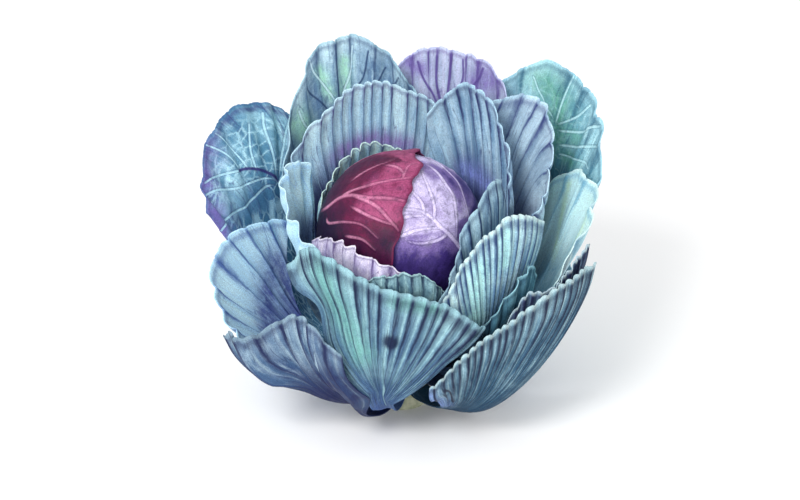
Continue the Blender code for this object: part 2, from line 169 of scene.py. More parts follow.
LEAVES = (
    Leaf("head_leaf_lilac", (-40, 0.085), (-80, -60, -40, -20, 1), (0.082, 0.084, 0.086, 0.087, 0.085),
         (0.166, 0.184, 0.194, 0.187, 0.175), -0.4, 0.05, 6, 0.0007),
    Leaf("collar_leaf_front", (4, 0.082), (-28, -12, 2, 14, 25), (0.088, 0.090, 0.089, 0.087, 0.085),
         (0.158, 0.174, 0.179, 0.171, 0.152), -0.4, 0.02, 6, 0.0007),
    Leaf("collar_leaf_back", (-156, 0.080), (-204, -182, -158, -136, -112),
         (0.082, 0.082, 0.082, 0.082, 0.082), (0.196, 0.206, 0.217, 0.206, 0.176), -0.4, 0.02, 7, 0.0008),
    Leaf("leaf_right_inner", (58, 0.076), (19, 34, 52, 70, 98), (0.083, 0.081, 0.081, 0.086, 0.089),
         (0.158, 0.193, 0.220, 0.236, 0.190), -0.3, 0, 7, 0.0008),
    Leaf("leaf_left_inner", (-86, 0.073), (-124, -112, -96, -74, -46), (0.100, 0.108, 0.110, 0.100, 0.091),
         (0.202, 0.213, 0.203, 0.184, 0.166), -0.4, 0.10, 6, 0.0008),
    Leaf("leaf_back_right_inner", (134, 0.068), (98, 116, 136, 151, 167), (0.096, 0.099, 0.103, 0.104, 0.096),
         (0.205, 0.240, 0.265, 0.265, 0.236), -0.3, 0, 7, 0.0012),
    Leaf("leaf_back_left_inner", (-160, 0.064), (-202, -183, -162, -140, -112),
         (0.099, 0.100, 0.101, 0.100, 0.098), (0.240, 0.256, 0.266, 0.250, 0.212), -0.3, 0, 9, 0.0012),
    Leaf("leaf_right_upright", (110, 0.060), (80, 93, 110, 125, 142), (0.116, 0.128, 0.136, 0.129, 0.124),
         (0.196, 0.220, 0.259, 0.264, 0.243), 0, 0, 7, 0.0012),
    Leaf("leaf_right_fan", (50, 0.056), (21, 33, 46, 59, 75), (0.093, 0.093, 0.101, 0.112, 0.126),
         (0.152, 0.184, 0.204, 0.217, 0.196), 0.3, 0, 7, 0.0012),
    Leaf("leaf_right_middle", (56, 0.051), (40, 49, 57, 62, 66), (0.110, 0.120, 0.125, 0.126, 0.126),
         (0.124, 0.152, 0.167, 0.168, 0.150), 0.2, 0, 5, 0.0008),
    Leaf("leaf_right", (84, 0.045), (60, 76, 89, 101, 116), (0.150, 0.164, 0.167, 0.156, 0.142),
         (0.160, 0.195, 0.212, 0.212, 0.176), -0.1, 0.05, 6, 0.0008),
    Leaf("leaf_back_left_tall", (-156, 0.050), (-190, -174, -158, -141, -116),
         (0.118, 0.138, 0.141, 0.138, 0.108), (0.232, 0.274, 0.294, 0.274, 0.210), -0.3, 0.05, 6, 0.0008),
    Leaf("leaf_back_violet", (160, 0.046), (128, 147, 162, 174, 190), (0.130, 0.145, 0.145, 0.140, 0.128),
         (0.236, 0.268, 0.277, 0.275, 0.250), -0.3, 0, 7, 0.0010),
    Leaf("leaf_right_back_green", (117, 0.041), (94, 106, 117, 129, 145), (0.158, 0.181, 0.182, 0.163, 0.150),
         (0.206, 0.240, 0.265, 0.282, 0.250), 0, 0.08, 6, 0.0006),
    Leaf("leaf_front", (-12, 0.024), (-58, -45, -14, 17, 38), (0.117, 0.106, 0.098, 0.102, 0.112),
         (0.170, 0.194, 0.169, 0.155, 0.133), 0.5, 0.04, 10, 0.0012),
    Leaf("leaf_left_front", (-74, 0.044), (-104, -92, -81, -70, -58), (0.104, 0.137, 0.165, 0.168, 0.155),
         (0.168, 0.171, 0.155, 0.127, 0.101), -0.2, 0, 7, 0.0012),
    Leaf("leaf_left_round", (-108, 0.040), (-143, -131, -118, -106, -95), (0.146, 0.160, 0.178, 0.183, 0.172),
         (0.206, 0.238, 0.239, 0.212, 0.178), 0.2, 0.12, 6, 0.0006),
    Leaf("leaf_left_low", (-27, 0.030), (-62, -55, -48, -39, -25), (0.156, 0.150, 0.138, 0.124, 0.112),
         (0.124, 0.129, 0.136, 0.140, 0.124), 0.05, 0, 6, 0.0012),
    Leaf("leaf_right_low_inner", (60, 0.030), (39, 47, 55, 63, 71), (0.112, 0.135, 0.147, 0.156, 0.160),
         (0.120, 0.152, 0.168, 0.182, 0.192), 0.2, 0, 7, 0.0010),
    Leaf("leaf_right_low", (38, 0.021), (12, 28, 41, 54, 68), (0.102, 0.117, 0.136, 0.164, 0.178),
         (0.087, 0.117, 0.144, 0.174, 0.175), 0.3, 0, 10, 0.0013),
    Leaf("leaf_back_left_low", (-138, 0.022), (-184, -162, -140, -118, -94),
         (0.140, 0.160, 0.168, 0.166, 0.150), (0.112, 0.140, 0.152, 0.146, 0.122), -0.2, 0.05, 8, 0.0010),
    Leaf("leaf_right_back_low", (102, 0.021), (74, 88, 102, 118, 134), (0.136, 0.150, 0.155, 0.152, 0.138),
         (0.082, 0.108, 0.122, 0.118, 0.098), -0.2, 0.05, 6, 0.0010),
    Leaf("leaf_back_right_low", (162, 0.019), (112, 136, 160, 184, 206), (0.142, 0.160, 0.166, 0.160, 0.140),
         (0.112, 0.138, 0.148, 0.138, 0.112), -0.2, 0.05, 8, 0.0010),
)

# side: azimuth of the side that the leaf comes up. past_top: degrees that its free edge lies past the top of
# the head. lap: how far its edge reaches round at its low ends, as a sine. wave: how far it wanders, degrees.
HeadLeaf = namedtuple("HeadLeaf", "name side radius past_top lap wave")

HEAD_LEAVES = (
    HeadLeaf("head_leaf_violet", 80, 0.0705, 7, 0.12, 1.0),
    HeadLeaf("head_leaf_red", -100, 0.0738, 9, 0.05, 3.0),
)


def srgb(red, green, blue):
    """A colour given as 0 to 255 on screen, as the linear colour that shaders take."""
    return tuple(((c / 255 + 0.055) / 1.055) ** 2.4 if c > 10 else c / 255 / 12.92 for c in (red, green, blue))


def lit(colour, light):
    """A colour lightened without a change of its hue, up to the palest that a leaf has."""
    return tuple(part * min(light, PALEST / max(colour)) for part in colour)


# base: the share of its length at which a leaf comes into sight. folds: pleats of the shown blade. height: how
# high they stand, and below 0 they stand inwards. lean: where in a pleat its crest is. sweep: how far the pleats
# swing to one side towards the base. crowd: above 1, how much they crowd to the right. scallop: depth of the
# notches at the rim. ruffle, waves: depth of the rim's frill and how many. roll: how far the rim turns out.
# net: 0 for a blade of straight pleats, 1 for one with a net of veins. light: lightens or darkens all of its
# colours, partly for the leaf's own paleness and partly as painted light on leaves in shade and painted shade
# on leaves in the key light. low, line, shade, body, crest, rim, pool: its colours, from the painted shade at
# its base and the painted shade line in a fold up to the painted highlights on its crests and rim (the round
# leaf's rim is its own dark margin), and what gathers where POOLS says.
Look = namedtuple(
    "Look",
    "base folds height lean sweep crowd scallop ruffle waves roll net light low line shade body crest rim pool")

SLATE_LOOK = Look(
    0.5, 8, -0.0016, 0.62, 0, 1, 0.005, 0.0010, 4, 0.002, 0, 1.0, low=(66, 82, 118), line=(40, 52, 84),
    shade=(84, 112, 142), body=(126, 154, 174), crest=(176, 202, 210), rim=(158, 184, 196), pool=(112, 122, 166))
# What each leaf has otherwise than SLATE_LOOK
LOOKS = {
    "head_leaf_lilac": dict(base=0.72, folds=9, height=0.0008, ruffle=0.0024, waves=7, roll=0.004,
        low=(96, 84, 126), line=(92, 78, 120), shade=(146, 138, 170), body=(184, 180, 202),
        crest=(216, 212, 224), rim=(228, 222, 232), pool=(172, 138, 168)),
    "collar_leaf_front": dict(base=0.72, folds=7, height=0.0012, ruffle=0.0018, roll=0.003,
        low=(40, 56, 84), line=(36, 54, 76), shade=(78, 104, 120), body=(112, 142, 154),
        crest=(150, 180, 184), rim=(168, 194, 196)),
    "collar_leaf_back": dict(base=0.82, folds=12, lean=0.5, scallop=0.02, ruffle=0.0012, waves=8,
        roll=0.004, light=2.0, line=(58, 70, 94), shade=(104, 128, 140), body=(146, 172, 176),
        crest=(186, 208, 202), rim=(206, 224, 214), pool=(120, 158, 154)),
    "leaf_right_inner": dict(base=0.4, folds=10, height=0.001, lean=0.4, scallop=0.003, light=0.9,
        line=(36, 54, 92)),
    "leaf_left_inner": dict(base=0.6, folds=5, height=-0.0004, sweep=-0.3, ruffle=0.0034, waves=6,
        roll=0.007, net=0.3, light=1.75, line=(120, 150, 176), shade=(158, 186, 200), body=(170, 198, 206),
        crest=(188, 214, 222), rim=(184, 206, 214), pool=(70, 84, 138)),
    "leaf_back_right_inner": dict(base=0.58, folds=9, height=-0.0018, sweep=-0.3, light=1.4,
        low=(44, 48, 86), line=(50, 54, 90), shade=(92, 118, 140), body=(136, 158, 172),
        crest=(180, 202, 212)),
    "leaf_back_left_inner": dict(base=0.66, folds=15, height=-0.0018, light=1.4, low=(60, 62, 104),
        line=(66, 66, 104), shade=(116, 140, 158), body=(156, 178, 186), crest=(190, 212, 218),
        rim=(160, 184, 194), pool=(116, 102, 142)),
    "leaf_right_upright": dict(height=-0.0018, lean=0.4, sweep=0.8, light=1.5, low=(50, 58, 92),
        line=(60, 68, 104), shade=(112, 130, 146), body=(152, 168, 176), crest=(188, 206, 216),
        pool=(134, 128, 168)),
    "leaf_right_fan": dict(base=0.3, folds=16, height=0.0014, lean=0.4, scallop=0.003, light=1.15,
        low=(66, 92, 126), line=(44, 62, 98), body=(144, 178, 192), crest=(202, 226, 224),
        rim=(214, 232, 228), pool=(168, 206, 204)),
    "leaf_right_middle": dict(folds=5, light=1.1, low=(26, 46, 66), line=(30, 50, 72), shade=(54, 90, 110),
        body=(80, 122, 140), crest=(120, 160, 172), rim=(150, 184, 190), pool=(58, 104, 122)),
    "leaf_right": dict(base=0.55, folds=5, height=-0.0008, sweep=0.2, ruffle=0.0026, roll=0.004, net=0.3,
        light=1.95, low=(74, 106, 122), line=(76, 112, 130), shade=(160, 184, 188), body=(188, 206, 206),
        crest=(188, 214, 210), rim=(206, 224, 222), pool=(196, 220, 196)),
    "leaf_back_left_tall": dict(base=0.7, folds=9, height=-0.0010, ruffle=0.0028, waves=5, roll=0.004,
        net=0.25, light=0.98, low=(88, 114, 144), line=(64, 84, 116), shade=(106, 132, 160),
        body=(146, 172, 188), crest=(186, 208, 214), rim=(150, 182, 192), pool=(156, 198, 178)),
    "leaf_back_violet": dict(base=0.75, folds=10, height=-0.0012, waves=5, roll=0.003, light=1.15,
        low=(104, 100, 142), line=(98, 84, 136), shade=(142, 148, 170), body=(168, 180, 196),
        crest=(204, 208, 226), rim=(176, 182, 208), pool=(130, 116, 166)),
    "leaf_right_back_green": dict(base=0.7, folds=6, height=-0.0006, ruffle=0.0026, waves=6, roll=0.004,
        net=0.35, light=1.05, low=(56, 94, 110), line=(60, 98, 118), shade=(96, 138, 154),
        body=(136, 174, 186), crest=(180, 210, 214), rim=(150, 188, 202), pool=(100, 152, 136)),
    "leaf_front": dict(base=0.28, folds=16, height=0.0020, crowd=1.35, scallop=0.003, ruffle=0.0014,
        roll=0.003, light=0.76, low=(76, 106, 164), line=(26, 40, 76), shade=(86, 116, 146),
        body=(134, 166, 182), crest=(172, 206, 212), rim=(164, 200, 208), pool=(142, 192, 188)),
    "leaf_left_front": dict(base=0.45, height=-0.0020, sweep=-0.5, ruffle=0.0004, light=1.5,
        low=(64, 78, 122), line=(66, 84, 124), shade=(134, 158, 172), body=(170, 192, 196),
        crest=(182, 206, 214), rim=(140, 168, 186), pool=(62, 70, 114)),
    "leaf_left_round": dict(base=0.68, folds=6, height=-0.0006, sweep=-0.5, ruffle=0.0026, waves=6,
        roll=0.004, net=1, light=1.25, low=(64, 100, 128), line=(54, 50, 98), shade=(72, 112, 134),
        body=(134, 164, 174), crest=(160, 190, 198), rim=(60, 94, 126), pool=(106, 94, 146)),
    "leaf_left_low": dict(base=0.48, height=0.0016, ruffle=0.0012, light=0.64, low=(40, 48, 100),
        line=(44, 56, 100), shade=(76, 102, 142), body=(104, 140, 170), crest=(186, 208, 222),
        pool=(44, 50, 100)),
    "leaf_right_low_inner": dict(folds=14, height=0.0012, scallop=0.003, low=(48, 56, 88),
        line=(42, 48, 78), shade=(66, 76, 108), body=(86, 106, 138), crest=(136, 160, 180),
        rim=(206, 224, 224), pool=(92, 88, 124)),
    "leaf_right_low": dict(base=0.32, folds=21, height=0.0016, lean=0.5, scallop=0.003, waves=5, roll=0.003,
        light=0.88, low=(34, 72, 98), line=(30, 40, 68), shade=(60, 92, 116), body=(100, 134, 154),
        crest=(160, 186, 194), rim=(200, 220, 220), pool=(130, 150, 196)),
    "leaf_back_left_low": dict(base=0.2, folds=9, height=0.0016, ruffle=0.0028, waves=5, roll=0.004, net=0.4),
    "leaf_back_right_low": dict(base=0.2, folds=9, height=0.0016, ruffle=0.0028, waves=5, roll=0.004,
        net=0.4, body=(112, 148, 162)),
    "leaf_right_back_low": dict(base=0.2, height=0.0016, ruffle=0.0022, roll=0.004, net=0.3,
        body=(104, 136, 156)),
}

# Strokes on the leaves: width in metres, then places (v across, q up) along each. Pale veins stand up a little.
PALE_VEINS = {
    "leaf_left_round": (
        (0.0012, (0.12, 0.83), (0.33, 0.88), (0.70, 0.99)),
        (0.0012, (-0.15, 0.78), (-0.12, 0.86), (-0.20, 0.94)),
        (0.0012, (-0.50, 0.74), (-0.39, 0.90), (-0.40, 0.97)), (0.0010, (0.11, 0.83), (0.21, 0.91), (0.35, 1)),
        (0.0010, (-0.04, 0.79), (0.12, 0.92), (0.21, 0.99)), (0.0012, (-0.50, 0.74), (0.2, 0.79), (0.79, 0.98)),
        (0.0014, (-0.47, 0.73), (0.21, 0.73), (0.98, 0.90)),
        (0.0010, (-0.55, 0.75), (-0.61, 0.85), (-0.69, 0.96)),
    ),
    "leaf_back_left_tall": (
        (0.0011, (0.14, 0.79), (0.37, 0.93), (0.43, 1)), (0.0010, (0.10, 0.79), (-0.06, 0.88), (-0.10, 0.97)),
        (0.0011, (0.46, 0.74), (0.59, 0.84), (0.64, 0.93)),
    ),
    "leaf_right_back_green": (
        (0.0010, (0.21, 0.84), (0.21, 0.92), (0.19, 1)), (0.0011, (0.21, 0.84), (0, 0.91), (-0.12, 0.98)),
        (0.0013, (0.19, 0.83), (-0.16, 0.90), (-0.41, 0.99)),
        (0.0013, (0.11, 0.80), (-0.25, 0.87), (-0.59, 0.98)),
        (0.0011, (0.07, 0.78), (-0.25, 0.83), (-0.61, 0.91)),
        (0.0009, (0.23, 0.85), (0.48, 0.90), (0.59, 0.96)),
    ),
    "leaf_front": ((0.0008, (0.10, 0.73), (0.18, 0.58), (0.25, 0.38)),),
    "leaf_left_low": ((0.0010, (0.55, 0.89), (0.46, 0.76)),),
}
DARK_STROKES = {
    "leaf_left_round": ((0.0015, (-0.56, 0.74), (-0.24, 0.78), (0.12, 0.83)),),
    "leaf_back_left_tall": (
        (0.0010, (0.12, 0.77), (0.11, 0.87), (0.12, 0.99)),
        (0.0009, (0.03, 0.79), (-0.20, 0.87), (-0.27, 0.97)),
        (0.0009, (-0.06, 0.79), (-0.36, 0.87), (-0.49, 0.95)),
        (0.0009, (0.25, 0.78), (0.45, 0.89), (0.52, 0.97)),
        (0.0009, (-0.31, 0.81), (-0.57, 0.91), (-0.66, 0.97)),
    ),
    "leaf_back_violet": (
        (0.0012, (0.18, 0.81), (0.43, 0.90), (0.51, 0.97)), (0.0012, (0.14, 0.81), (0.23, 0.89), (0.23, 0.98)),
        (0.0012, (0.06, 0.82), (0.03, 0.90), (0, 0.99)), (0.0012, (-0.02, 0.82), (-0.15, 0.91), (-0.15, 0.98)),
        (0.0012, (-0.16, 0.84), (-0.35, 0.93), (-0.41, 0.98)),
    ),
    # The front leaf's single dark spot is a painted shadow in a small hollow of the leaf.
    "leaf_front": ((0.0075, (0.18, 0.81)),),
    "leaf_right_low": ((0.0012, (-0.84, 0.96), (-0.76, 0.82), (-0.72, 0.62)),),
}
# Where a leaf's own hue gathers. The dark pools of the two back inner leaves and of the left inner, left front
# and left low leaves are painted shade near the head and under neighbouring leaves.
POOLS = {
    "leaf_left_round": ((0.020, (0.35, 1.02), (0.7, 1), (1, 0.92), (1, 0.85)),),
    "leaf_back_left_tall": ((0.013, (0.48, 0.70), (0.58, 0.80), (0.66, 0.90)), (0.006, (0.02, 0.82), (0, 0.92)),
                            (0.006, (0.22, 0.82), (0.32, 0.93))),
    "leaf_right_back_green": ((0.016, (0.55, 0.95), (0.25, 0.9), (0.15, 0.8)), (0.008, (0, 0.86), (-0.15, 0.87)),
                              (0.008, (-0.05, 0.80), (-0.25, 0.82))),
    "leaf_back_violet": ((0.013, (-0.3, 0.9), (-0.5, 0.96)), (0.009, (0.45, 0.93), (0.6, 0.98))),
    "leaf_back_left_inner": ((0.009, (0.5, 0.77), (0, 0.76), (-0.5, 0.77)),),
    "leaf_back_right_inner": ((0.012, (0.5, 0.66), (0, 0.66), (-0.6, 0.66)),),
    "leaf_left_inner": ((0.010, (0.35, 0.6), (0.6, 0.75), (0.9, 0.85)),),
    "leaf_left_front": ((0.022, (-1, 0.5), (-1, 0.75)), (0.014, (-0.9, 0.85), (-0.5, 0.7), (0, 0.6))),
    "leaf_left_low": ((0.026, (0.3, 0.62), (0.7, 0.78)), (0.020, (0.9, 0.72), (0.9, 0.85))),
    "leaf_right_low": ((0.0085, (-1, 1), (-1, 0.8), (-0.96, 0.6)),),
    "leaf_front": ((0.011, (-0.5, 0.97), (-0.4, 0.85), (-0.2, 0.7)), (0.006, (0.1, 0.97), (0.5, 0.97))),
    "leaf_right": ((0.0045, (0.3, 0.68), (0.56, 0.83), (0.62, 0.96)), (0.008, (-0.3, 0.8), (-0.2, 0.95))),
    "leaf_right_fan": ((0.010, (-0.8, 0.8), (-0.5, 0.6), (-0.2, 0.9)), (0.006, (0.3, 0.8), (0.3, 0.95))),
}


def hug_guide(reach):
    """Radius and height of the level 0 bowl: round the lower half of the head, then straight up."""
    start = math.asin(ROOT_RADIUS / HUG_RADIUS)
    speed = (math.pi / 2 - start) / HUG_WIDEST_REACH
    angle = start + speed * np.minimum(reach, HUG_WIDEST_REACH)
    straight = np.maximum(reach - HUG_WIDEST_REACH, 0) * speed * HUG_RADIUS
    return np.stack([HUG_RADIUS * np.sin(angle), HEAD_HEIGHT - HUG_RADIUS * np.cos(angle) + straight], -1)


def open_guide(reach):
    """Radius and height of the level 1 bowl: a Bezier arc to reach 1, then straight on."""
    a, b, c, d = (np.array(point) for point in OPEN_BOWL)
    t = np.minimum(reach, 1)[..., None]
    arc = a * (1 - t) ** 3 + 3 * b * t * (1 - t) ** 2 + 3 * c * t**2 * (1 - t) + d * t**3
    heading = (d - c) / np.linalg.norm(d - c)
    length = np.linalg.norm(d - a) * OPEN_BOWL_SPEED
    return arc + heading * length * np.maximum(reach - 1, 0)[..., None]


def bowl_point(level, reach):
    """Radius and height of a point of the leaf space."""
    inner = hug_guide(reach)
    return inner + (open_guide(reach) - inner) * np.asarray(level)[..., None]


def level_and_reach(radius, height):
    """The level and reach of a point given by its radius and height."""
    reach = np.linspace(0, MOST_REACH, REACH_SAMPLES)
    inner = hug_guide(reach)
    rung = open_guide(reach) - inner
    offset = np.array([radius, height]) - inner
    length = np.linalg.norm(rung, axis=1)
    level = (offset * rung).sum(1) / length**2
    miss = np.abs(offset[:, 0] * rung[:, 1] - offset[:, 1] * rung[:, 0]) / length
    miss = np.where((level > LEVEL_RANGE[0]) & (level < LEVEL_RANGE[1]), miss, np.inf)
    nearest = int(miss.argmin())
    return level[nearest], reach[nearest]


def metres_per_level(level, reach):
    """How far apart two bowls lie, square to the leaf, for each unit of level between them."""
    along = bowl_point(level, reach + DIFFERENCE) - bowl_point(level, np.maximum(reach - DIFFERENCE, 0))
    along = along / np.linalg.norm(along, axis=-1)[..., None]
    rung = open_guide(reach) - hug_guide(reach)
    return np.abs(rung[..., 0] * along[..., 1] - rung[..., 1] * along[..., 0])


def through(values, v):
    """A smooth curve through evenly spaced values, from v = -1 at the first to v = 1 at the last."""
    values = np.array(values)
    slopes = np.gradient(values)
    place = (v + 1) / 2 * (len(values) - 1)
    first = np.clip(place.astype(int), 0, len(values) - 2)
    t = place - first
    before, after = values[first], values[first + 1]
    return (
        before * (1 + 2 * t) * (1 - t) ** 2
        + after * (3 - 2 * t) * t**2
        + slopes[first] * t * (1 - t) ** 2
        - slopes[first + 1] * (1 - t) * t**2
    )


def smooth_step(x):
    x = np.clip(x, 0, 1)
    return x * x * (3 - 2 * x)


def leaf_coordinates(leaf, v, q):
    """Azimuth, level and reach over a leaf: v runs across it, -1 to 1, and q from root, 0, to rim, 1."""
    levels, reaches = zip(*(level_and_reach(*place) for place in zip(leaf.radii, leaf.heights)))
    rim_azimuth = through(leaf.azimuths, v)
    rim_level = through(levels, v) - leaf.curl
    rim_reach = through(reaches, v)
    root_azimuth, root_height = leaf.root
    highest, lowest = hug_guide(np.array(0.0))[1], OPEN_BOWL[0][1]
    root_level = (highest - root_height) / (highest - lowest)
    turned_out = np.clip((q - CURL_START) / (1 - CURL_START), 0, 1) ** 2
    level = root_level + (rim_level - root_level) * q**LEVEL_POWER + leaf.curl * turned_out
    reach = rim_reach * q
    past_neck = np.clip((q - leaf.neck) / (1 - leaf.neck), 0, 1)
    widening = past_neck if leaf.neck >= FAN_NECK else smooth_step(past_neck)
    stem = np.degrees(STEM_HALF_WIDTH / bowl_point(level, reach)[..., 0]) * v
    azimuth = root_azimuth + stem * (1 - widening) + (rim_azimuth - root_azimuth) * widening
    return azimuth, level, reach


def blade_thickness(v, q):
    """Full at the rib and the root, thin towards the rim and the sides."""
    rib = np.exp(-((v / RIB_HALF_WIDTH) ** 2))
    share = np.maximum(rib * (1 - q), (1 - q) ** ROOT_THINNING_POWER)
    return BLADE_THICKNESS + (RIB_THICKNESS - BLADE_THICKNESS) * share


def pleat_share(q):
    """The pleats start a little way up the leaf and deepen towards the rim."""
    return smooth_step((q - PLEAT_START) / (1 - PLEAT_START))


def over_neighbours(values, cells, combine):
    """Each cell's value and those within this many cells of it, combined, such as by np.max."""
    for axis in (0, 1):
        padded = np.pad(values, [(cells, cells) if a == axis else (0, 0) for a in (0, 1)], mode="edge")
        count = values.shape[axis]
        values = combine([np.take(padded, range(i, i + count), axis) for i in range(2 * cells + 1)], axis=0)
    return values


def table_bins(azimuth, reach):
    columns = np.round((azimuth % 360) / 360 * AZIMUTH_BINS).astype(int) % AZIMUTH_BINS
    rows = np.clip(np.round(reach / MOST_REACH * REACH_BINS).astype(int), 0, REACH_BINS - 1)
    return columns, rows


def lay_leaf(leaf, taken):
    """The push that keeps a leaf clear of those laid before it, on a grid over it. Adds the leaf to taken."""
    v, q = np.meshgrid(np.linspace(-1, 1, PUSH_CELLS + 1), np.linspace(0, 1, PUSH_CELLS + 1), indexing="ij")
    azimuth, level, reach = leaf_coordinates(leaf, v, q)
    bins = table_bins(azimuth, reach)
    spacing = metres_per_level(level, reach)
    pleat = leaf.depth * pleat_share(q)
    needed = np.maximum(taken[bins] + (pleat + CLEARANCE) / spacing - level, 0)
    push = over_neighbours(over_neighbours(needed, PUSH_SMOOTHING, np.max), PUSH_SMOOTHING, np.mean)

    v, q = np.meshgrid(np.linspace(-1, 1, LAID_CELLS + 1), np.linspace(0, 1, LAID_CELLS + 1), indexing="ij")
    azimuth, level, reach = leaf_coordinates(leaf, v, q)
    level = level + push_at(push, v, q)
    outside = level + (blade_thickness(v, q) + leaf.depth * pleat_share(q)) / metres_per_level(level, reach)
    laid = np.zeros_like(taken)
    np.maximum.at(laid, table_bins(azimuth, reach), outside)
    wrapped = np.concatenate([laid[-2:], laid, laid[:2]])
    np.maximum(taken, over_neighbours(wrapped, 1, np.max)[2:-2], out=taken)
    return push


def push_at(push, v, q):
    """The push at any point of the leaf, between its grid's values."""
    x = np.clip((v + 1) / 2 * PUSH_CELLS, 0, PUSH_CELLS - 1e-6)
    y = np.clip(q * PUSH_CELLS, 0, PUSH_CELLS - 1e-6)
    i, j = x.astype(int), y.astype(int)
    x, y = x - i, y - j
    near = push[i, j] * (1 - y) + push[i, j + 1] * y
    return near * (1 - x) + (push[i + 1, j] * (1 - y) + push[i + 1, j + 1] * y) * x


def leaf_surface(leaf, push, v, q):
    """Points of the leaf's inner face, with no pleats."""
    azimuth, level, reach = leaf_coordinates(leaf, v, q)
    radius, height = np.moveaxis(bowl_point(level + push_at(push, v, q), reach), -1, 0)
    turn = np.radians(azimuth)
    return np.stack([radius * np.sin(turn), -radius * np.cos(turn), height], -1)


def outward_normals(surface, v, q):
    """Unit normals of a surface over v and q, by differences, pointing away from the stalk's axis or down."""
    across = surface(np.clip(v + DIFFERENCE, -1, 1), q) - surface(np.clip(v - DIFFERENCE, -1, 1), q)
    along = surface(v, np.clip(q + DIFFERENCE, 0, 1)) - surface(v, np.clip(q - DIFFERENCE, 0, 1))
    normals = np.cross(along, across)
    return normals / np.linalg.norm(normals, axis=-1)[..., None]


class Paint:
    """Builds a material by arithmetic on the sockets of its nodes."""

    def __init__(self, name):
        self.material = bpy.data.materials.new(name)
        self.material.use_nodes = True
        self.tree = self.material.node_tree
        self.shader = self.tree.nodes["Principled BSDF"]

    def set(self, socket, value):
        if isinstance(value, bpy.types.NodeSocket):
            self.tree.links.new(value, socket)
        elif isinstance(value, tuple) and len(value) == 3 and socket.type == "RGBA":
            socket.default_value = (*value, 1)
        else:
            socket.default_value = value

    def add(self, kind, inputs=(), **settings):
        made = self.tree.nodes.new(kind)
        for key, value in settings.items():
            setattr(made, key, value)
        for key, value in dict(inputs).items():
            self.set(made.inputs[key], value)
        return made

    def attribute(self, name):
        return self.add("ShaderNodeAttribute", attribute_name=name).outputs["Fac"]

    def math(self, operation, *values):
        made = self.add("ShaderNodeMath", operation=operation)
        for socket, value in zip(made.inputs, values):
            self.set(socket, value)
        return made.outputs[0]

    def plus(self, a, b):
        return self.math("ADD", a, b)

    def times(self, a, b):
        return self.math("MULTIPLY", a, b)

    def swing(self, value, amount):
        """A value of 0 to 1 as a swing round 0, this much from end to end."""
        return self.times(self.plus(value, -0.5), amount)

    def span(self, value, low, high, to_low=0.0, to_high=1.0):
        """value from low..high eased onto to_low..to_high, and held outside."""
        made = self.add("ShaderNodeMapRange", interpolation_type="SMOOTHSTEP")
        for socket, number in zip(made.inputs, (value, low, high, to_low, to_high)):
            self.set(socket, number)
        return made.outputs[0]

    def noise(self, scale, detail=2.0, vector=None, roughness=0.5):
        vector = vector or self.add("ShaderNodeTexCoord").outputs["Object"]
        settings = {"Vector": vector, "Scale": scale, "Detail": detail, "Roughness": roughness}
        return self.add("ShaderNodeTexNoise", settings).outputs["Fac"]

    def vector(self, x, y, z=0.0):
        return self.add("ShaderNodeCombineXYZ", {"X": x, "Y": y, "Z": z}).outputs[0]

    def mix(self, share, a, b, blend="MIX"):
        made = self.add("ShaderNodeMix", data_type="RGBA", blend_type=blend)
        self.set(made.inputs[0], share)
        self.set(made.inputs[6], a)
        self.set(made.inputs[7], b)
        return made.outputs[2]

    def cover(self, colour, tint, *shares):
        """The tint laid over a colour, as strong as the product of its shares."""
        return self.mix(reduce(self.times, shares), colour, tint)

    def washes(self, colour, *layers):
        """Tints over a colour: each with what it follows, where it starts and is full, and its strength."""
        for tint, value, start, full, strength in layers:
            colour = self.mix(self.span(value, start, full, 0.0, strength), colour, tint)
        return colour

    def beside(self, vein, start, middle, end):
        """1 where the value is at the middle, and 0 past the start and end."""
        return self.times(self.span(vein, start, middle), self.span(vein, end, middle))

    def ramp(self, value, stops):
        """A colour that runs through the stops, each a place from 0 to 1 and a colour."""
        made = self.add("ShaderNodeValToRGB", {0: value})
        points = made.color_ramp.elements
        for place, colour in stops[1:-1]:
            points.new(place).color = (*colour, 1)
        points[0].position, points[-1].position = stops[0][0], stops[-1][0]
        points[0].color, points[-1].color = (*stops[0][1], 1), (*stops[-1][1], 1)
        made.color_ramp.interpolation = "EASE"
        return made.outputs["Color"]

    def speckled(self, colour, darkest, lightest):
        """The colour broken up by a fine grain."""
        grain = self.span(self.noise(GRAIN_SCALE), 0.3, 0.7, darkest, lightest)
        return self.mix(1.0, colour, self.vector(grain, grain, grain), "MULTIPLY")

    def strengthen(self, colour):
        """The colour with deeper darks and lighter lights, and a little more saturated."""
        contrast = self.add("ShaderNodeGamma", {"Color": colour, "Gamma": PAINT_GAMMA}).outputs[0]
        vivid = self.add("ShaderNodeHueSaturation", {
            "Color": contrast, "Saturation": PAINT_SATURATION, "Value": PAINT_VALUE})
        return vivid.outputs[0]

    def finish(self, colour, roughness, relief=None, strength=0.3, depth=0.001):
        self.set(self.shader.inputs["Base Color"], colour)
        self.set(self.shader.inputs["Roughness"], roughness)
        self.shader.inputs["Specular IOR Level"].default_value = SHINE
        if relief is not None:
            bump = self.add("ShaderNodeBump", {"Height": relief, "Strength": strength, "Distance": depth})
            self.set(self.shader.inputs["Normal"], bump.outputs[0])
        return self.material


